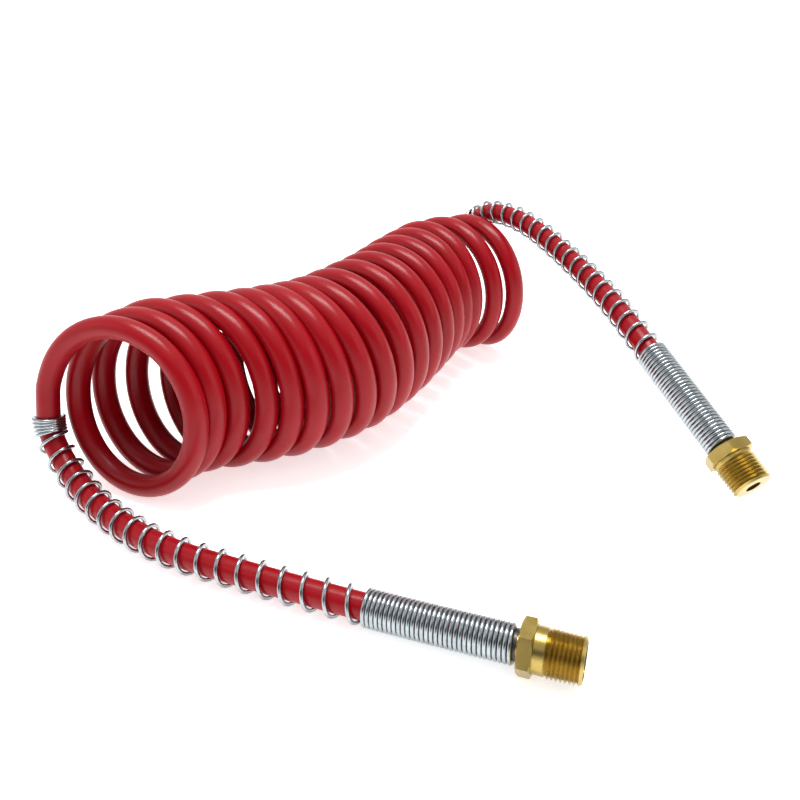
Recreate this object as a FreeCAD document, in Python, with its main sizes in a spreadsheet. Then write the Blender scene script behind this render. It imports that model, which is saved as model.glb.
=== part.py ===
"""A self-coiling air-brake hose with a spring guard and a pipe-thread fitting at each end.

The hose lies on a flat surface, +Z up, with the origin on that surface under the middle of the
whole object. The near lead leaves the coil on its left and runs along the surface to a swivel
fitting. The far lead leaves the top of the coil's other end and arches towards a rigid fitting,
which its own stiffness holds a little above the surface.
All lengths are in millimetres and all angles in degrees.
"""
import FreeCAD, Part
import Sketcher
import math
import os
from FreeCAD import Placement, Rotation, Vector

# ---------------------------------------------------------------- driving dimensions
SIZES = [
    ("hose_od", 12.7, "half-inch nylon tube"),
    ("hose_id", 9.5, "bore of the tube"),
    ("coil_radius", 46.2, "centre of a turn to the middle of the hose"),
    ("wire_diameter", 2.0, "spring wire of a guard"),
    ("guard_radius", 8.0, "lead's centre to the middle of the wire"),
    ("guard_coil_end_turns", 5, "closed turns at the guard's coil end"),
    ("guard_open_turns", 20, "open turns along the lead"),
    ("guard_open_pitch", 11.2, "rise of an open turn"),
    ("guard_closed_turns", 32, "closed turns next to the fitting"),
    ("guard_closed_pitch", 2.1, "rise of a closed turn"),
    ("guard_gap", 1.0, "last turn of the guard to the hexagon"),
    ("hose_end_gap", 1.2, "end of the hose to the hexagon"),
    ("ferrule_thickness", 0.45, "crimped sleeve wall"),
    ("ferrule_clearance", 0.02, "sleeve to hose, radial"),
    ("ferrule_length", 20.0, "crimped sleeve"),
    ("hex_flats", 22.2, "7/8 inch across flats"),
    ("hex_length", 6.3, "along the fitting"),
    ("hex_chamfer", 0.9, "height of the bevel on the hexagon's corners"),
    ("neck_radius", 10.1, "between hexagon and thread"),
    ("neck_length", 4.6, "between hexagon and thread of the swivel fitting"),
    ("rigid_neck_length", 1.5, "between hexagon and thread of the rigid fitting"),
    ("thread_pitch", 1.814, "1/2-14 pipe thread"),
    ("thread_turns", 8, "full turns of thread"),
    ("thread_depth", 1.30, "crest to root"),
    ("thread_radius", 10.7, "crest radius at the neck end"),
    ("thread_taper", 0.03125, "fall in radius for each unit of length, 1 in 16 on diameter"),
    ("tip_length", 1.3, "bevelled end in front of the first turn"),
    ("tip_bevel", 0.9, "fall in radius over the bevelled end"),
    ("rigid_bore_radius", 4.0, "air passage of the rigid fitting"),
    ("stem_bore_radius", 3.2, "air passage of a barbed stem"),
    ("barb_radius", 5.05, "crest of a barb, a little over the hose's bore"),
    ("barb_root_radius", 4.3, "root of a barb"),
    ("barb_pitch", 4.5, "one barb to the next"),
    ("barb_count", 5, "barbs on a stem"),
    ("shank_radius", 5.5, "plain part of a stem behind the hexagon"),
    ("swivel_wall", 3.2, "rear wall of the swivel body"),
    ("swivel_clearance", 0.05, "stem to swivel body, radial"),
    ("swivel_bore_radius", 8.2, "open mouth of the swivel body"),
    ("swivel_end_play", 0.2, "flange to the swivel body's rear wall"),
    ("flange_length", 6.4, "stem's flange inside the swivel body"),
    ("seal_section", 0.9, "radius of the seal ring's own section"),
    ("seal_groove_width", 2.2, "groove in the flange"),
    ("retainer_thickness", 1.0, "retaining ring"),
    ("retainer_inner_radius", 6.6, "retaining ring"),
    ("retainer_groove_depth", 0.5, "groove in the swivel body's wall"),
    ("retainer_arc", 300.0, "the ring is split, and this much of it is left"),
]

# The coil's centre: turn number, x, y, heading of the turn's axis, and how far its top leans along it.
COIL = [
    (0.0, -143.7, -57.2, 69, 10),
    (1.0, -135.0, -44.6, 64, 13),
    (2.0, -126.4, -30.3, 62, 10),
    (3.5, -102.2, -20.6, 57, 9),
    (5.5, -70.4, -10.2, 48, 4),
    (8.0, -38.5, 11.1, 48, -4),
    (11.0, -7.7, 56.1, 48, 2),
    (14.0, 18.7, 113.5, 47, 2),
    (15.5, 33.2, 140.7, 42, 3),
    (17.0, 60.4, 155.1, 38, 2),
    (18.3, 84.0, 161.3, 30, 0),
]
NEAR_LEAD_FROM = 0.15   # turn at which the near lead's tube starts, against the coil's solid
COIL_SOLID_FROM = 0.48  # turn at which the solid of the coil's outer shape starts
COIL_SOLID_TO = 17.55   # and ends, clear of the guards on the leads that leave the coil beside it

# Routes of the leads' centre lines, from the coil to the end of the hose inside the fitting.
NEAR_ROUTE = [
    Vector(-187.0, -40.9, 51.9),
    Vector(-188.9, -45.2, 32.5),
    Vector(-176.5, -58.0, 16.5),
    Vector(-152.5, -84.0, 9.5),
    Vector(-110.5, -117.0, 9.1),
    Vector(-62.5, -136.5, 9.1),
    Vector(-14.5, -154.5, 9.1),
    Vector(34.0, -172.2, 10.0),
    Vector(59.0, -181.5, 11.1),
]
FAR_ROUTE = [
    Vector(62.2, 191.1, 82.1),
    Vector(70.1, 180.7, 97.2),
    Vector(81.5, 161.0, 108.0),
    Vector(103.5, 130.7, 106.5),
    Vector(125.6, 82.1, 94.5),
    Vector(140.8, 29.6, 85.0),
    Vector(152.4, -21.1, 72.2),
    Vector(168.8, -56.1, 54.0),
    Vector(178.7, -77.4, 42.9),
]
BEND_SHARE = 0.45  # share of the shorter run that a bend takes on each side of its point

doc = FreeCAD.newDocument("coiled_air_hose")


# ---------------------------------------------------------------- sizes
def make_sheet():
    sheet = doc.addObject("Spreadsheet::Sheet", "Sizes")
    for row, (alias, value, note) in enumerate(SIZES, start=1):
        sheet.set(f"A{row}", alias)
        sheet.set(f"B{row}", str(value))
        sheet.setAlias(f"B{row}", alias)
        sheet.set(f"C{row}", note)
    doc.recompute()
    return sheet


sheet = make_sheet()


def size(alias):
    return float(sheet.get(alias))


def bound(expression):
    """An expression over the sheet's names, written for use anywhere in the document."""
    for alias, _, _ in sorted(SIZES, key=lambda item: -len(item[0])):
        expression = expression.replace(f"[{alias}]", f"Sizes.{alias}")
    return expression


# ---------------------------------------------------------------- sketches and bodies
def origin_plane(body, role):
    return next(item for item in body.Origin.OriginFeatures if item.Role == role)


def outline_sketch(body, name, role, outlines):
    """Closed outlines of straight sides, each corner a pair of expressions, on an origin plane."""
    sketch = body.newObject("Sketcher::SketchObject", name)
    sketch.AttachmentSupport = (origin_plane(body, role), [""])
    sketch.MapMode = "FlatFace"
    for outline in outlines:
        pairs = [(bound(across), bound(along)) for across, along in outline]
        corners = [
            Vector(float(sheet.evalExpression(a)), float(sheet.evalExpression(b)), 0)
            for a, b in pairs
        ]
        first = sketch.GeometryCount
        count = len(corners)
        for i in range(count):
            sketch.addGeometry(Part.LineSegment(corners[i], corners[(i + 1) % count]), False)
        for i in range(count):
            following = first + (i + 1) % count
            sketch.addConstraint(Sketcher.Constraint("Coincident", first + i, 2, following, 1))
        for i, (across, along) in enumerate(pairs):
            for kind, value, expression in (
                ("DistanceX", corners[i].x, across),
                ("DistanceY", corners[i].y, along),
            ):
                index = sketch.addConstraint(
                    Sketcher.Constraint(kind, -1, 1, first + i, 1, value)
                )
                sketch.setExpression(f"Constraints[{index}]", expression)
    return sketch


def new_body(label, placement):
    body = doc.addObject("PartDesign::Body", label)
    body.Label = label
    body.Placement = placement
    return body


def turned(body, kind, name, outlines):
    """A Revolution or Groove of outlines given as (radius, height), about the body's own Z axis."""
    before = body.Shape.Volume if kind == "Groove" else 0.0
    sketch = outline_sketch(body, f"{name}_profile", "XZ_Plane", outlines)
    feature = body.newObject(f"PartDesign::{kind}", name)
    feature.Profile = sketch
    feature.ReferenceAxis = (sketch, ["V_Axis"])
    feature.Angle = 360
    doc.recompute()
    if kind == "Groove" and body.Shape.Volume > before - 0.01:
        raise RuntimeError(f"{name} cuts nothing")
    return feature


def hexagon(body, name):
    """The spanner hexagon, with its corners bevelled at both faces."""
    corner = "[hex_flats] / sqrt(3)"
    outline = [(f"{corner} * cos({60 * i})", f"{corner} * sin({60 * i})") for i in range(6)]
    sketch = outline_sketch(body, f"{name}_outline", "XY_Plane", [outline])
    pad = body.newObject("PartDesign::Pad", name)
    pad.Profile = sketch
    pad.setExpression("Length", bound("[hex_length]"))
    doc.recompute()
    outer = f"{corner} + 1"
    flat = "[hex_flats] / 2"
    drop = f"[hex_chamfer] * ({outer} - {flat}) / ({corner} - {flat})"
    rear = [(flat, "0"), (outer, "0"), (outer, drop)]
    front = [(flat, "[hex_length]"), (outer, f"[hex_length] - {drop}"), (outer, "[hex_length]")]
    turned(body, "Groove", f"{name}_bevel", [rear, front])


def thread_outline(neck):
    """Neck and tapered thread as (radius, height) corners, from the hexagon to the tip."""
    start = f"[hex_length] + {neck}"
    corners = [("[neck_radius]", "[hex_length]"), ("[neck_radius]", start)]
    for turn in range(int(size("thread_turns"))):
        root = f"({turn} + 0.5) * [thread_pitch]"
        crest = f"({turn} + 1) * [thread_pitch]"
        corners.append(
            (f"[thread_radius] - [thread_taper] * {root} - [thread_depth]", f"{start} + {root}")
        )
        corners.append((f"[thread_radius] - [thread_taper] * {crest}", f"{start} + {crest}"))
    end = f"{start} + [thread_turns] * [thread_pitch] + [tip_length]"
    last = "[thread_radius] - [thread_taper] * [thread_turns] * [thread_pitch]"
    corners.append((f"{last} - [tip_bevel]", end))
    return corners, end


def barb_outline():
    """Barbed stem as (radius, height) corners, from its free end up to the hexagon's rear face."""
    corners = []
    for barb in range(int(size("barb_count"))):
        low = f"-[hose_end_gap] - ([barb_count] - {barb}) * [barb_pitch]"
        corners.append(("[barb_root_radius]", low))
        corners.append(("[barb_radius]", f"{low} + 0.8 * [barb_pitch]"))
    corners.append(("[barb_root_radius]", f"{low} + 0.8 * [barb_pitch]"))
    corners.append(("[barb_root_radius]", "-[hose_end_gap]"))
    corners.append(("[shank_radius]", "-[hose_end_gap]"))
    return corners


STEM_END = "-[hose_end_gap] - [barb_count] * [barb_pitch]"


def rigid_fitting(label, placement):
    """Hexagon, neck, thread and barbed stem in one piece, with a stepped air passage."""
    body = new_body(label, placement)
    hexagon(body, f"{label}_hexagon")
    front, end = thread_outline("[rigid_neck_length]")
    turned(body, "Revolution", f"{label}_thread", [[("0", "[hex_length]"), *front, ("0", end)]])
    stem = [("0", STEM_END), *barb_outline(), ("[shank_radius]", "0"), ("0", "0")]
    turned(body, "Revolution", f"{label}_stem", [stem])
    bore = [
        ("0", f"{STEM_END} - 1"),
        ("[stem_bore_radius]", f"{STEM_END} - 1"),
        ("[stem_bore_radius]", "0"),
        ("[rigid_bore_radius]", "[hex_length] / 2"),
        ("[rigid_bore_radius]", f"{end} + 1"),
        ("0", f"{end} + 1"),
    ]
    turned(body, "Groove", f"{label}_bore", [bore])
    return body


def swivel_body(label, placement):
    """Hexagon, neck and thread that turn on the stem, hollow from the front."""
    body = new_body(label, placement)
    hexagon(body, f"{label}_hexagon")
    front, end = thread_outline("[neck_length]")
    turned(body, "Revolution", f"{label}_thread", [[("0", "[hex_length]"), *front, ("0", end)]])
    hole = "[shank_radius] + [swivel_clearance]"
    ring_low = RETAINER_LOW
    ring_high = f"{RETAINER_LOW} + [retainer_thickness]"
    deep = "[swivel_bore_radius] + [retainer_groove_depth]"
    bore = [
        ("0", "-1"),
        (hole, "-1"),
        (hole, "[swivel_wall]"),
        ("[swivel_bore_radius]", "[swivel_wall]"),
        ("[swivel_bore_radius]", ring_low),
        (deep, ring_low),
        (deep, ring_high),
        ("[swivel_bore_radius]", ring_high),
        ("[swivel_bore_radius]", f"{end} + 1"),
        ("0", f"{end} + 1"),
    ]
    turned(body, "Groove", f"{label}_bore", [bore])
    return body


FLANGE_LOW = "[swivel_wall] + [swivel_end_play]"
FLANGE_HIGH = f"{FLANGE_LOW} + [flange_length]"
RETAINER_LOW = f"{FLANGE_HIGH} + [swivel_end_play]"
SEAL_MIDDLE = f"{FLANGE_LOW} + [flange_length] / 2"
FLANGE_RADIUS = "[swivel_bore_radius] - [swivel_clearance]"
SEAL_RADIUS = "[swivel_bore_radius] - 2 * [swivel_clearance] - [seal_section]"


def swivel_stem(label, placement):
    """Barbed stem whose flange is trapped inside the swivel body and carries the seal ring."""
    body = new_body(label, placement)
    floor = f"{SEAL_RADIUS} - [seal_section] - 0.02"
    low = f"{SEAL_MIDDLE} - [seal_groove_width] / 2"
    high = f"{SEAL_MIDDLE} + [seal_groove_width] / 2"
    outline = [
        ("[stem_bore_radius]", STEM_END),
        *barb_outline(),
        ("[shank_radius]", FLANGE_LOW),
        (FLANGE_RADIUS, FLANGE_LOW),
        (FLANGE_RADIUS, low),
        (floor, low),
        (floor, high),
        (FLANGE_RADIUS, high),
        (FLANGE_RADIUS, FLANGE_HIGH),
        ("[stem_bore_radius]", FLANGE_HIGH),
    ]
    turned(body, "Revolution", f"{label}_turned", [outline])
    return body


def retaining_ring(label, placement):
    """Split ring in the swivel body's groove, in front of the stem's flange."""
    body = new_body(label, placement)
    outer = "[swivel_bore_radius] + [retainer_groove_depth] - 0.05"
    low = f"{RETAINER_LOW} + 0.05"
    high = f"{RETAINER_LOW} + [retainer_thickness] - 0.05"
    inner = "[retainer_inner_radius]"
    outline = [(inner, low), (outer, low), (outer, high), (inner, high)]
    ring = turned(body, "Revolution", f"{label}_turned", [outline])
    ring.setExpression("Angle", bound("[retainer_arc]"))
    return body


def ferrule(label, placement):
    """Thin sleeve crimped on the end of the hose, under the guard's closed turns."""
    body = new_body(label, placement)
    inner = "[hose_od] / 2 + [ferrule_clearance]"
    outer = f"{inner} + [ferrule_thickness]"
    high = "-[hose_end_gap]"
    low = f"{high} - [ferrule_length]"
    outline = [(inner, low), (outer, low), (outer, high), (inner, high)]
    turned(body, "Revolution", f"{label}_turned", [outline])
    return body


def seal_ring(label, placement):
    """Round-section rubber ring in the flange's groove."""
    ring = doc.addObject("Part::Torus", label)
    ring.Label = label
    ring.setExpression("Radius1", bound(SEAL_RADIUS))
    ring.setExpression("Radius2", bound("[seal_section]"))
    middle = float(sheet.evalExpression(bound(SEAL_MIDDLE)))
    ring.Placement = placement.multiply(Placement(Vector(0, 0, middle), Rotation()))
    return ring


# ---------------------------------------------------------------- routes
class Route:
    """Straight runs joined by tangent arcs, with a frame that turns no more than the route does."""

    def __init__(self, name, points):
        self.points = points
        self.pieces = []
        runs = [b - a for a, b in zip(points, points[1:])]
        at = points[0]
        tangent = Vector(runs[0]).normalize()
        side = tangent.cross(Vector(0, 0, 1))
        if side.Length < 0.2:
            side = tangent.cross(Vector(0, 1, 0))
        side = side.normalize()
        radii = []
        for i in range(1, len(points) - 1):
            before, after = Vector(runs[i - 1]).normalize(), Vector(runs[i]).normalize()
            turn = before.getAngle(after)
            cut = BEND_SHARE * min(runs[i - 1].Length, runs[i].Length)
            radius = cut / math.tan(turn / 2)
            radii.append(round(radius))
            start = points[i] - before * cut
            self.add_line(at, start, before, side)
            axis = before.cross(after).normalize()
            centre = start + axis.cross(before) * radius
            self.add_arc(start, centre, axis, turn, before, side)
            side = Rotation(axis, math.degrees(turn)).multVec(side)
            at = points[i] + after * cut
            tangent = after
        self.add_line(at, points[-1], tangent, side)
        self.length = sum(piece["length"] for piece in self.pieces)
        self.end_direction = tangent
        print(name, "length", round(self.length, 1), "bend radii", radii)

    def add_line(self, start, end, tangent, side):
        edge = Part.LineSegment(start, end).toShape()
        self.pieces.append(
            {"length": (end - start).Length, "start": start, "tangent": tangent, "side": side,
             "axis": None, "edge": edge}
        )

    def add_arc(self, start, centre, axis, turn, tangent, side):
        spoke = start - centre
        middle = centre + Rotation(axis, math.degrees(turn / 2)).multVec(spoke)
        end = centre + Rotation(axis, math.degrees(turn)).multVec(spoke)
        edge = Part.Arc(start, middle, end).toShape()
        self.pieces.append(
            {"length": spoke.Length * turn, "start": start, "tangent": tangent, "side": side,
             "axis": axis, "centre": centre, "edge": edge}
        )

    def frame(self, distance):
        """Point, direction and sideways direction at a distance along the route."""
        for piece in self.pieces:
            if distance <= piece["length"] or piece is self.pieces[-1]:
                break
            distance -= piece["length"]
        if piece["axis"] is None:
            return piece["start"] + piece["tangent"] * distance, piece["tangent"], piece["side"]
        spoke = piece["start"] - piece["centre"]
        rotation = Rotation(piece["axis"], math.degrees(distance / spoke.Length))
        point = piece["centre"] + rotation.multVec(spoke)
        return point, rotation.multVec(piece["tangent"]), rotation.multVec(piece["side"])

    def wire(self):
        return Part.Wire([piece["edge"] for piece in self.pieces])


def feature(label, shape, place):
    """A document object for a shape, with the object's own origin at place."""
    to_own_origin = FreeCAD.Matrix()
    to_own_origin.move(-place)
    shape.transformShape(to_own_origin, True)
    item = doc.addObject("Part::Feature", label)
    item.Label = label
    item.Shape = shape
    item.Placement = Placement(place, Rotation())
    return item


# ---------------------------------------------------------------- hose
def hose_lead(label, route):
    """Hollow tube along a route."""
    start, direction = route.points[0], route.pieces[0]["tangent"]

    def rod(radius):
        section = Part.Wire([Part.makeCircle(radius, start, direction)])
        return route.wire().makePipeShell([section], True, False)

    outer, inner = size("hose_od") / 2, size("hose_id") / 2
    tube = rod(outer).cut(rod(inner))
    expected = math.pi * (outer**2 - inner**2) * route.length
    print(label, "volume over section times length", round(tube.Volume / expected, 4))
    return feature(label, tube, start)


def coil_station(turn):
    """Centre and axis of the turn, read between the rows of COIL."""
    for low, high in zip(COIL, COIL[1:]):
        if turn <= high[0]:
            break
    share = (turn - low[0]) / (high[0] - low[0])
    x, y, heading, lean = (a + (b - a) * share for a, b in zip(low[1:], high[1:]))
    heading, lean = math.radians(heading), math.radians(lean)
    height = size("coil_radius") * math.cos(lean) + size("hose_od") / 2
    flat = Vector(math.cos(heading), math.sin(heading), 0)
    axis = flat * math.cos(lean) - Vector(0, 0, 1) * math.sin(lean)
    return Vector(x, y, height), axis


def coil_point(turn):
    """Middle of the hose on the coil: whole turns are at its left side, and it climbs from there."""
    centre, axis = coil_station(turn)
    across = axis.cross(Vector(0, 0, 1)).normalize()
    upward = across.cross(axis)
    angle = 2 * math.pi * turn
    return centre + (upward * math.sin(angle) - across * math.cos(angle)) * size("coil_radius")


def coil_solid(label):
    """Outer shape of the coil: a thick tube whose wall is one hose thick."""
    turns = [COIL_SOLID_FROM]
    turns += [row[0] for row in COIL if COIL_SOLID_FROM < row[0] < COIL_SOLID_TO]
    turns.append(COIL_SOLID_TO)
    stations = [coil_station(turn) for turn in turns]

    def body(radius):
        rings = [Part.Wire([Part.makeCircle(radius, centre, axis)]) for centre, axis in stations]
        return Part.makeLoft(rings, True, False)

    middle, half = size("coil_radius"), size("hose_od") / 2
    tube = body(middle + half).cut(body(middle - half))
    return feature(label, tube, stations[0][0])


# ---------------------------------------------------------------- spring guards
def wire_point(route, start, schedule, turn):
    """Middle of the wire after a number of turns; schedule holds (turns, rise per turn)."""
    distance, left = start, turn
    for turns, rise in schedule:
        step = min(left, turns) if (turns, rise) != schedule[-1] else left
        distance += step * rise
        left -= step
    point, direction, side = route.frame(distance)
    other = direction.cross(side)
    angle = 2 * math.pi * turn
    return point + (side * math.cos(angle) + other * math.sin(angle)) * size("guard_radius")


def round_wire(points, tangents, radius):
    """Solid of round section through points: two tangent arcs from each point to the next."""
    ring = Part.makeCircle(radius, points[0], tangents[0])
    faces = [Part.Face(Part.Wire([ring]))]

    def bend(ring, start, tangent, end):
        chord = end - start
        axis = tangent.cross(chord).normalize()
        inward = axis.cross(tangent)
        bend_radius = chord.Length**2 / (2 * inward.dot(chord))
        centre = start + inward * bend_radius
        angle = math.degrees(2 * tangent.getAngle(chord))
        faces.append(ring.revolve(centre, axis, angle))
        return ring.rotated(centre, axis, angle)

    for start, end, leave, arrive in zip(points, points[1:], tangents, tangents[1:]):
        chord, both = end - start, leave + arrive
        across, spread = chord.dot(both), 2 * (1 - leave.dot(arrive))
        reach = (math.sqrt(across**2 + spread * chord.dot(chord)) - across) / spread
        middle = (start + leave * reach + end - arrive * reach) / 2
        ring = bend(ring, start, leave, middle)
        halfway = (middle - start).normalize()
        turned_tangent = halfway * (2 * halfway.dot(leave)) - leave
        ring = bend(ring, middle, turned_tangent, end)
    faces.append(Part.Face(Part.Wire([ring])))
    shell = Part.Compound(faces)
    shell.sewShape()
    return Part.Solid(shell.Shells[0])


def spring_guard(label, route):
    """Wire guard: closed turns at the coil end, open turns, then closed turns to the fitting."""
    schedule = [
        (size("guard_coil_end_turns"), size("guard_closed_pitch")),
        (size("guard_open_turns"), size("guard_open_pitch")),
        (size("guard_closed_turns"), size("guard_closed_pitch")),
    ]
    turns = sum(count for count, _ in schedule)
    rise = sum(count * pitch for count, pitch in schedule)
    last = route.length + size("hose_end_gap") - size("guard_gap") - size("wire_diameter") / 2
    start = last - rise
    print(label, "starts", round(start, 1), "along the lead and is", round(rise, 1), "long")
    steps = int(turns * 3)
    nudge = 0.01
    points, tangents = [], []
    for i in range(steps + 1):
        turn = turns * i / steps
        points.append(wire_point(route, start, schedule, turn))
        ahead = wire_point(route, start, schedule, turn + nudge)
        behind = wire_point(route, start, schedule, turn - nudge)
        tangents.append((ahead - behind).normalize())
    wire = round_wire(points, tangents, size("wire_diameter") / 2)
    if wire.Volume < 0:
        wire.reverse()
    return feature(label, wire, points[0])


# ---------------------------------------------------------------- assembly
def fitting_placement(route):
    """Where a fitting stands: on the end of the lead, Z along it, a flat of the hexagon down."""
    forward = route.end_direction
    across = Vector(0, 0, 1).cross(forward).normalize()
    upward = forward.cross(across)
    point = route.points[-1] + forward * size("hose_end_gap")
    print("fitting at", point, "pointing", forward)
    return Placement(point, Rotation(across, upward, forward, "ZXY"))


def build():
    near = Route("near lead", [coil_point(NEAR_LEAD_FROM)] + NEAR_ROUTE)
    far = Route("far lead", FAR_ROUTE)
    near_place, far_place = fitting_placement(near), fitting_placement(far)
    parts = [
        hose_lead("hose_near_lead", near),
        coil_solid("hose_coil"),
        hose_lead("hose_far_lead", far),
        spring_guard("near_spring_guard", near),
        spring_guard("far_spring_guard", far),
        ferrule("near_ferrule", near_place),
        ferrule("far_ferrule", far_place),
        swivel_stem("near_swivel_stem", near_place),
        swivel_body("near_swivel_body", near_place),
        seal_ring("near_seal_ring", near_place),
        retaining_ring("near_retaining_ring", near_place),
        rigid_fitting("far_fitting_body", far_place),
    ]
    doc.recompute()
    return parts


def check(parts):
    for item in doc.Objects:
        if "Invalid" in item.State or "Error" in item.State:
            raise RuntimeError(f"{item.Name} failed: {item.State}")
    for part in parts:
        if part.Shape.isNull() or not part.Shape.isValid():
            raise RuntimeError(f"{part.Label} has no valid shape")
        if len(part.Shape.Solids) != 1:
            raise RuntimeError(f"{part.Label} has {len(part.Shape.Solids)} solids")


def export(parts):
    os.makedirs("parts", exist_ok=True)
    for part in parts:
        part.Shape.exportStep(f"parts/{part.Label}.step")
        print(f"{part.Label:22s} volume {part.Shape.Volume:10.1f}")


parts = build()
check(parts)
export(parts)
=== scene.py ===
import math

import bpy
import numpy as np
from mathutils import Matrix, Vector


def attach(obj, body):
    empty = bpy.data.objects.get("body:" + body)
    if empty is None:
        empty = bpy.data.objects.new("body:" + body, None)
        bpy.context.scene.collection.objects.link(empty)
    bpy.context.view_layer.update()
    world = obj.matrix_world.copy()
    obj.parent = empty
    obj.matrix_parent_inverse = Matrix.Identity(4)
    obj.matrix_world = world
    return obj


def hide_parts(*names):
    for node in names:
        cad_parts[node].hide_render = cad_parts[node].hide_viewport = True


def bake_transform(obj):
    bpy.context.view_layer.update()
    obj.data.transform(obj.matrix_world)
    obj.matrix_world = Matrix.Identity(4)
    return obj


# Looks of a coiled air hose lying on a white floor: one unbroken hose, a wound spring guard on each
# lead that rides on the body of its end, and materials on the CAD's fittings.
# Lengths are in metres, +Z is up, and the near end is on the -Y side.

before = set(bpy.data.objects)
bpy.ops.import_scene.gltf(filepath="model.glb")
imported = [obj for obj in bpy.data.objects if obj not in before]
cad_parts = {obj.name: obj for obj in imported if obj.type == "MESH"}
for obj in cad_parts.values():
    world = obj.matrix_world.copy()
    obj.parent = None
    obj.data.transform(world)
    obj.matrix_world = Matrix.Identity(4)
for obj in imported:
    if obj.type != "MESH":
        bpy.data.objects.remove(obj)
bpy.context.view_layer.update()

# ---------------------------------------------------------------- sizes
HOSE_RADIUS = 0.00635
COIL_RADIUS = 0.0462
COIL_TURNS = 18.11
POINTS_PER_TURN = 16       # points that guide the coil's line
LINE_STEPS = 24            # steps of the line between two guides
SAME_POINT = 1e-7          # points of the line nearer than this count as one
STATION_GAP = 0.0025       # between the rings of vertices along the hose
HOSE_AROUND = 28           # vertices round the hose
OVAL_ACROSS = 0.967        # a turn's section is pressed a little flat towards the coil's middle
OVAL_ALONG = 1.135         # and wider along the coil
OVAL_STARTS_OVER = 0.5     # turns over which the section grows oval at the near end
OVAL_ENDS_OVER = 0.4       # and grows round again at the far end
WIRE_RADIUS = 0.0010
WIRE_AROUND = 10           # vertices round a guard's wire
WIRE_STEPS = 20            # and rings of them in each of its turns
GUARD_RADIUS = 0.0080      # from the hose's middle to the wire's
# (turns, rise per turn) of a spring guard, from its coil end to the fitting
GUARD_TURNS = [(5, 0.0021), (20, 0.0112), (32, 0.0021)]
GUARD_TO_END = 0.0008      # the last turn's middle, back from the end of the hose

# Turn number, x, y, heading of the turn's axis and how far its top leans along it, in degrees
COIL = [
    (0.0, -0.1437, -0.0572, 69, 10),
    (1.0, -0.1350, -0.0446, 64, 13),
    (2.0, -0.1264, -0.0303, 62, 10),
    (3.5, -0.1022, -0.0206, 57, 9),
    (5.5, -0.0704, -0.0102, 48, 4),
    (8.0, -0.0385, 0.0111, 48, -4),
    (11.0, -0.0077, 0.0561, 48, 2),
    (14.0, 0.0187, 0.1135, 47, 2),
    (15.5, 0.0332, 0.1407, 42, 3),
    (17.0, 0.0604, 0.1551, 38, 2),
    (18.3, 0.0840, 0.1613, 30, 0),
]
# The leads, from the coil to the fitting
NEAR_ROUTE = [
    (-0.1870, -0.0409, 0.0519),
    (-0.1889, -0.0452, 0.0325),
    (-0.1765, -0.0580, 0.0165),
    (-0.1525, -0.0840, 0.0095),
    (-0.1105, -0.1170, 0.0091),
    (-0.0625, -0.1365, 0.0091),
    (-0.0145, -0.1545, 0.0091),
    (0.0340, -0.1722, 0.0100),
    (0.0590, -0.1815, 0.0111),
]
FAR_ROUTE = [
    (0.0622, 0.1911, 0.0821),
    (0.0701, 0.1807, 0.0972),
    (0.0815, 0.1610, 0.1080),
    (0.1035, 0.1307, 0.1065),
    (0.1256, 0.0821, 0.0945),
    (0.1408, 0.0296, 0.0850),
    (0.1524, -0.0211, 0.0722),
    (0.1688, -0.0561, 0.0540),
    (0.1787, -0.0774, 0.0429),
]

# The studio: floor and surroundings as light given off, lights as (place, target, size, watts)
FLOOR_HALF = 30.0
FLOOR_GLOW = 0.65
FLOOR_WHITE = 0.9
WORLD_BACKDROP = (1.2, 1.2, 1.2)
WORLD_LIGHT = (0.75, 0.75, 0.75)
WORLD_DARK = (0.10, 0.10, 0.107)
# Where they are, by how far up a direction points: 0 is level and 1 is straight up
WORLD_HORIZON = (0.05, 0.12)              # backdrop below, light above
WORLD_PATCH = (0.25, 0.32, 0.62, 0.75)    # dark from the second to the third, on the -Y side only
WORLD_PATCH_SIDE = (-0.15, -0.45)         # a direction's y where the patch begins and is full
LIGHTS = {
    "light_over": ((0.0, 0.25, 1.6), (0, 0, 0), (0.9, 0.5), 24),
    "light_left": ((-1.4, -0.5, 0.9), (0, 0, 0.05), (0.9, 0.9), 2),
    "light_right": ((1.4, -0.4, 0.8), (0, 0, 0.05), (0.9, 0.9), 2),
}
CAMERA_PLACE = (0.0100, -0.4025, 0.2461)
CAMERA_DOWN = 28.3         # degrees below level
CAMERA_LENS = 33.0         # millimetres
CAMERA_SENSOR = 36
CAMERA_NEAREST = 0.01

# The part of a noise's range, 0 to 1, over which a material's tone changes
TONES = (0.3, 0.7)


# ---------------------------------------------------------------- materials
def new_material(name):
    """A new material, with its nodes, its links and its shader."""
    material = bpy.data.materials.new(name)
    material.use_nodes = True
    nodes = material.node_tree.nodes
    shader = next(node for node in nodes if node.type == "BSDF_PRINCIPLED")
    return material, nodes, material.node_tree.links, shader


def ramp_of(nodes, links, source, colours):
    """Colours read from a value, given as (value, colour) pairs; at least two."""
    ramp = nodes.new("ShaderNodeValToRGB")
    for i, (position, colour) in enumerate(colours):
        element = ramp.color_ramp.elements[i] if i < 2 else ramp.color_ramp.elements.new(position)
        element.position = position
        element.color = (*colour, 1)
    links.new(source, ramp.inputs["Fac"])
    return ramp.outputs["Color"]


def noise(nodes, links, scale, detail=3.0):
    """Cloudy value fixed to the piece."""
    place = nodes.new("ShaderNodeTexCoord")
    texture = nodes.new("ShaderNodeTexNoise")
    texture.inputs["Scale"].default_value = scale
    texture.inputs["Detail"].default_value = detail
    links.new(place.outputs["Object"], texture.inputs["Vector"])
    return texture.outputs["Fac"]


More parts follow.
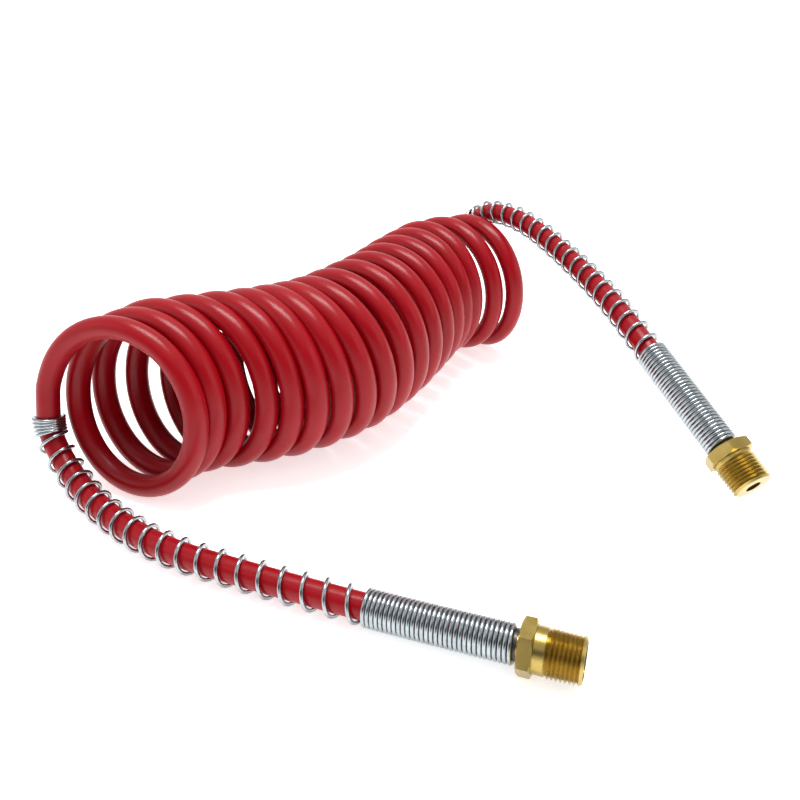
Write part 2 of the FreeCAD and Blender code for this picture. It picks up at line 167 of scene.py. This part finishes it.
def value_range(nodes, links, source, low, high):
    """A value from 0 to 1, spread from low to high."""
    spread = nodes.new("ShaderNodeMapRange")
    spread.inputs["To Min"].default_value = low
    spread.inputs["To Max"].default_value = high
    links.new(source, spread.inputs["Value"])
    return spread.outputs["Result"]


def add_bump(nodes, links, shader, source, distance, strength):
    """Fine relief on a shader, from a value."""
    bump = nodes.new("ShaderNodeBump")
    bump.inputs["Distance"].default_value = distance
    bump.inputs["Strength"].default_value = strength
    links.new(source, bump.inputs["Height"])
    links.new(bump.outputs["Normal"], shader.inputs["Normal"])


def toned_material(name, low, high, grain, smooth, rough):
    """A material whose colour and roughness drift between two values, in patches sized by grain."""
    material, nodes, links, shader = new_material(name)
    tone = noise(nodes, links, grain)
    colour = ramp_of(nodes, links, tone, list(zip(TONES, (low, high))))
    links.new(colour, shader.inputs["Base Color"])
    links.new(value_range(nodes, links, tone, smooth, rough), shader.inputs["Roughness"])
    return material, nodes, links, shader


def nylon():
    """Satin red nylon."""
    material, nodes, links, shader = toned_material(
        "hose_nylon_red", (0.285, 0.001, 0.005), (0.320, 0.002, 0.008), 35.0, 0.27, 0.34
    )
    shader.inputs["IOR"].default_value = 1.53
    shader.inputs["Specular IOR Level"].default_value = 0.22
    fine = noise(nodes, links, 400.0, 2.0)
    add_bump(nodes, links, shader, fine, distance=0.00015, strength=0.25)
    return material


def metal(name, low, high, smooth, rough, grain=120.0):
    """Metal between two colours and between two roughnesses."""
    material, _, _, shader = toned_material(name, low, high, grain, smooth, rough)
    shader.inputs["Metallic"].default_value = 1.0
    return material


def seal_rubber():
    """Dull black rubber."""
    low, high = (0.012, 0.012, 0.012), (0.03, 0.03, 0.03)
    material, *_ = toned_material("seal_rubber_black", low, high, 500.0, 0.5, 0.7)
    return material


NYLON = nylon()
PLATE = metal("spring_zinc_plate", (0.32, 0.35, 0.37), (0.43, 0.46, 0.48), 0.16, 0.28, 300.0)
BRASS = metal("fitting_brass_machined", (0.38, 0.275, 0.075), (0.48, 0.35, 0.110), 0.24, 0.32)
RING_STEEL = metal("ring_spring_steel", (0.42, 0.43, 0.45), (0.55, 0.56, 0.58), 0.25, 0.33)
# The ferrules are near-black metal as painted shade: the dark stands in for the shaded gap between
# each spring guard and its fitting.
FERRULE_PAINTED_SHADE = metal("ferrule_painted_shade", (0.05, 0.05, 0.055), (0.10, 0.10, 0.11), 0.35, 0.43)
SEAL = seal_rubber()


# ---------------------------------------------------------------- the hose's line
def coil_row(turn):
    """Centre, heading and lean at a turn, on a smooth curve through the rows of COIL."""
    turns = [row[0] for row in COIL]
    values = np.array([row[1:] for row in COIL])
    slopes = np.gradient(values, turns, axis=0)
    i = min(max(np.searchsorted(turns, turn) - 1, 0), len(turns) - 2)
    width = turns[i + 1] - turns[i]
    share = (turn - turns[i]) / width
    low, high = values[i], values[i + 1]
    return (
        low * (1 + 2 * share) * (1 - share) ** 2
        + high * (3 - 2 * share) * share**2
        + width * slopes[i] * share * (1 - share) ** 2
        - width * slopes[i + 1] * share**2 * (1 - share)
    )


def coil_point(turn, radius):
    """A point of the coil: whole turns are at its left side, and it climbs from there."""
    x, y, heading, lean = coil_row(turn)
    heading, lean = math.radians(heading), math.radians(lean)
    across = Vector((math.sin(heading), -math.cos(heading), 0))
    along = Vector((math.cos(heading), math.sin(heading), 0))
    upward = Vector((0, 0, math.cos(lean))) + along * math.sin(lean)
    centre = Vector((x, y, COIL_RADIUS * math.cos(lean) + HOSE_RADIUS))
    angle = 2 * math.pi * turn
    return centre - across * radius * math.cos(angle) + upward * radius * math.sin(angle)


def hose_line():
    """Points of one smooth line, guided by the near lead, the coil and the far lead in turn.

    The line touches the middle of each straight step between its guides, so the coil's guides lie
    a little outside the coil."""
    control_radius = COIL_RADIUS / math.cos(math.pi / POINTS_PER_TURN)
    count = int(COIL_TURNS * POINTS_PER_TURN)
    coil = [coil_point((i + 0.5) / POINTS_PER_TURN, control_radius) for i in range(count)]
    controls = [Vector(p) for p in NEAR_ROUTE[::-1]] + coil + [Vector(p) for p in FAR_ROUTE]
    curve = bpy.data.curves.new("hose_line", "CURVE")
    curve.dimensions = "3D"
    curve.resolution_u = LINE_STEPS
    spline = curve.splines.new("NURBS")
    spline.points.add(len(controls) - 1)
    for point, place in zip(spline.points, controls):
        point.co = (*place, 1)
    spline.order_u = 3  # made of parabolas
    spline.use_endpoint_u = True
    line = bpy.data.objects.new("hose_line", curve)
    bpy.context.scene.collection.objects.link(line)
    bpy.context.view_layer.update()
    mesh = bpy.data.meshes.new_from_object(line)
    points = np.array([vertex.co[:] for vertex in mesh.vertices])
    bpy.data.meshes.remove(mesh)
    bpy.data.objects.remove(line)
    return points


class Line:
    """Points along the hose, with a direction and a sideways direction that never twists."""

    def __init__(self, points):
        gaps = np.linalg.norm(np.diff(points, axis=0), axis=1)
        points = points[np.r_[True, gaps > SAME_POINT]]
        gaps = np.linalg.norm(np.diff(points, axis=0), axis=1)
        self.points = points
        self.at = np.r_[0, np.cumsum(gaps)]
        self.length = self.at[-1]
        self.directions = np.gradient(points, self.at, axis=0)
        self.directions /= np.linalg.norm(self.directions, axis=1)[:, None]
        self.sides = np.zeros_like(points)
        side = np.cross(self.directions[0], (0, 0, 1))
        for i, direction in enumerate(self.directions):
            side = side - direction * side.dot(direction)
            side /= np.linalg.norm(side)
            self.sides[i] = side

    def read(self, distances):
        """Points, directions and sideways directions at distances along the line."""

        def along(values):
            return np.stack([np.interp(distances, self.at, values[:, k]) for k in range(3)], 1)

        directions, sides = along(self.directions), along(self.sides)
        directions /= np.linalg.norm(directions, axis=1)[:, None]
        sides -= directions * (directions * sides).sum(1)[:, None]
        sides /= np.linalg.norm(sides, axis=1)[:, None]
        return along(self.points), directions, sides


def sweep(name, centres, directions, sides, radius, around, material):
    """Closed tube of round section along points."""
    angles = np.linspace(0, 2 * np.pi, around, endpoint=False)
    others = np.cross(directions, sides)
    ring = sides[:, None] * np.cos(angles)[None, :, None]
    ring += others[:, None] * np.sin(angles)[None, :, None]
    vertices = centres[:, None] + ring * radius
    faces = []
    for i in range(len(centres) - 1):
        low = i * around
        for j in range(around):
            k = (j + 1) % around
            faces.append((low + j, low + k, low + around + k, low + around + j))
    last = (len(centres) - 1) * around
    faces.append(tuple(range(around - 1, -1, -1)))
    faces.append(tuple(range(last, last + around)))
    mesh = bpy.data.meshes.new(name)
    mesh.from_pydata(vertices.reshape(-1, 3).tolist(), [], faces)
    mesh.polygons.foreach_set("use_smooth", [len(face) == 4 for face in faces])
    mesh.update()
    mesh.materials.append(material)
    piece = bpy.data.objects.new(name, mesh)
    bpy.context.scene.collection.objects.link(piece)
    return piece


line = Line(hose_line())

# ---------------------------------------------------------------- hose
stations = np.linspace(0, line.length, int(line.length / STATION_GAP))
centres, directions, sides = line.read(stations)
hose = sweep("hose_tube", centres, directions, sides, HOSE_RADIUS, HOSE_AROUND, NYLON)


def distance_along(point):
    """How far along the hose its line passes nearest to a point."""
    return float(line.at[np.argmin(np.linalg.norm(line.points - np.array(point), axis=1))])


coil_start = distance_along(NEAR_ROUTE[0])
coil_end = distance_along(FAR_ROUTE[0])


def ease(share):
    """From 0 to 1 with a smooth start and end."""
    share = np.clip(share, 0, 1)
    return share**2 * (3 - 2 * share)


def press_turns_oval(piece, start, end):
    """Gives the hose its slightly oval section where it is coiled, and leaves the leads round."""
    turns = np.clip((stations - start) / (end - start), 0, 1) * COIL_TURNS
    amount = ease(turns / OVAL_STARTS_OVER) * ease((COIL_TURNS - turns) / OVAL_ENDS_OVER)
    amount = amount[:, None, None]
    rows = np.array([coil_row(turn) for turn in turns])
    heading, lean = np.radians(rows[:, 2]), np.radians(rows[:, 3])
    flat = np.cos(lean)
    axes = np.stack([np.cos(heading) * flat, np.sin(heading) * flat, -np.sin(lean)], 1)[:, None]
    vertices = np.empty(len(piece.data.vertices) * 3)
    piece.data.vertices.foreach_get("co", vertices)
    offsets = vertices.reshape(len(stations), HOSE_AROUND, 3) - centres[:, None]
    along = (offsets * axes).sum(2, keepdims=True) * axes
    offsets += amount * ((OVAL_ACROSS - 1) * (offsets - along) + (OVAL_ALONG - 1) * along)
    piece.data.vertices.foreach_set("co", (centres[:, None] + offsets).ravel())
    piece.data.update()


def stretch_along_coil(piece, start, end):
    """Lays the hose's vertices along a straight line, each by its share of the way through the coil
    with a smooth ease in and out taken back off, bakes the piece's place into its mesh while they
    lie there, and then puts the vertices back where they were."""
    share = np.clip((stations - start) / (end - start), 0, 1)
    uneased = 0.5 - np.sin(np.arcsin(1 - 2 * share) / 3)
    final = np.empty(len(piece.data.vertices) * 3)
    piece.data.vertices.foreach_get("co", final)
    laid = np.zeros((len(stations), HOSE_AROUND, 3))
    laid[:, :, 0] = uneased[:, None]
    piece.data.vertices.foreach_set("co", laid.ravel())
    piece.data.update()
    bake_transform(piece)
    piece.data.vertices.foreach_set("co", final)
    piece.data.update()


press_turns_oval(hose, coil_start, coil_end)
stretch_along_coil(hose, coil_start, coil_end)
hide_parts("hose_near_lead", "hose_coil", "hose_far_lead")


# ---------------------------------------------------------------- spring guards
def guard(name, body, end, towards_coil):
    """Spring wire wound on the hose; end is where the hose ends, as a distance along its line, and
    towards_coil is 1 or -1, the way along the line from there to the coil."""
    total = sum(turns for turns, _ in GUARD_TURNS)
    turn = np.linspace(0, total, total * WIRE_STEPS + 1)
    knots = np.cumsum([0] + [turns for turns, _ in GUARD_TURNS])
    rises = np.cumsum([0] + [turns * rise for turns, rise in GUARD_TURNS])
    from_fitting = rises[-1] + GUARD_TO_END - np.interp(turn, knots, rises)
    distances = end + towards_coil * from_fitting
    middles, along, side = line.read(distances)
    other = np.cross(-towards_coil * along, side)
    angle = (2 * np.pi * turn)[:, None]
    wire = middles + GUARD_RADIUS * (np.cos(angle) * side + np.sin(angle) * other)
    # the wire's own direction, and the way out from the hose square to it
    heading = np.gradient(wire, axis=0)
    heading /= np.linalg.norm(heading, axis=1)[:, None]
    outward = wire - middles
    outward -= heading * (outward * heading).sum(1)[:, None]
    outward /= np.linalg.norm(outward, axis=1)[:, None]
    piece = sweep(name, wire, heading, outward, WIRE_RADIUS, WIRE_AROUND, PLATE)
    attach(piece, body)
    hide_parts(name.replace("wire", "guard"))
    return piece


near_spring = guard("near_spring_wire", "near_end", 0.0, 1)
far_spring = guard("far_spring_wire", "far_end", line.length, -1)

# ---------------------------------------------------------------- fittings
for node, material in (
    # the ferrules get the near-black painted shade of the gap by the spring guards
    ("near_ferrule", FERRULE_PAINTED_SHADE),
    ("far_ferrule", FERRULE_PAINTED_SHADE),
    ("near_swivel_stem", BRASS),
    ("near_swivel_body", BRASS),
    ("near_seal_ring", SEAL),
    ("near_retaining_ring", RING_STEEL),
    ("far_fitting_body", BRASS),
):
    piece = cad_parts[node]
    piece.data.materials.clear()
    piece.data.materials.append(material)


# ---------------------------------------------------------------- studio
def floor_plate():
    """Wide white floor that gives off some light."""
    mesh = bpy.data.meshes.new("studio_floor")
    corners = [(-1, -1), (1, -1), (1, 1), (-1, 1)]
    mesh.from_pydata([(x * FLOOR_HALF, y * FLOOR_HALF, 0) for x, y in corners], [], [(0, 1, 2, 3)])
    material, _, _, shader = new_material("studio_floor_white")
    shader.inputs["Roughness"].default_value = 0.9
    shader.inputs["Base Color"].default_value = (FLOOR_WHITE, FLOOR_WHITE, FLOOR_WHITE, 1)
    shader.inputs["Emission Color"].default_value = (1, 1, 1, 1)
    shader.inputs["Emission Strength"].default_value = FLOOR_GLOW
    mesh.materials.append(material)
    piece = bpy.data.objects.new("studio_floor", mesh)
    bpy.context.scene.collection.objects.link(piece)
    return piece


def area_light(name, place, target, size, power):
    """Soft rectangular light aimed at a place."""
    light = bpy.data.lights.new(name, "AREA")
    light.shape = "RECTANGLE"
    light.size, light.size_y = size
    light.energy = power
    lamp = bpy.data.objects.new(name, light)
    lamp.location = place
    lamp.rotation_euler = (Vector(target) - Vector(place)).to_track_quat("-Z", "Y").to_euler()
    bpy.context.scene.collection.objects.link(lamp)


floor_plate()
for name, (place, target, size, power) in LIGHTS.items():
    area_light(name, place, target, size, power)


def studio_world():
    """Pale surroundings, with a dark patch above the front side that gives bright metal contrast."""
    world = bpy.data.worlds.new("studio_world")
    world.use_nodes = True
    nodes, links = world.node_tree.nodes, world.node_tree.links
    place = nodes.new("ShaderNodeTexCoord")
    split = nodes.new("ShaderNodeSeparateXYZ")
    links.new(place.outputs["Generated"], split.inputs["Vector"])
    height = split.outputs["Z"]
    horizon = list(zip(WORLD_HORIZON, (WORLD_BACKDROP, WORLD_LIGHT)))
    patch = list(zip(WORLD_PATCH, (WORLD_LIGHT, WORLD_DARK, WORLD_DARK, WORLD_LIGHT)))
    plain = ramp_of(nodes, links, height, horizon)
    patched = ramp_of(nodes, links, height, horizon + patch)
    in_front = nodes.new("ShaderNodeMapRange")
    in_front.inputs["From Min"].default_value = WORLD_PATCH_SIDE[0]
    in_front.inputs["From Max"].default_value = WORLD_PATCH_SIDE[1]
    links.new(split.outputs["Y"], in_front.inputs["Value"])
    blend = nodes.new("ShaderNodeMixRGB")
    links.new(in_front.outputs["Result"], blend.inputs["Fac"])
    links.new(plain, blend.inputs["Color1"])
    links.new(patched, blend.inputs["Color2"])
    links.new(blend.outputs["Color"], nodes["Background"].inputs["Color"])
    return world


bpy.context.scene.world = studio_world()
bpy.context.scene.view_settings.view_transform = "Standard"

# ---------------------------------------------------------------- camera
camera_data = bpy.data.cameras.new("camera")
camera_data.sensor_width = CAMERA_SENSOR
camera_data.lens = CAMERA_LENS
camera_data.clip_start = CAMERA_NEAREST
camera = bpy.data.objects.new("camera", camera_data)
camera.location = CAMERA_PLACE
camera.rotation_euler = (math.radians(90 - CAMERA_DOWN), 0, 0)
bpy.context.scene.collection.objects.link(camera)
bpy.context.scene.camera = camera
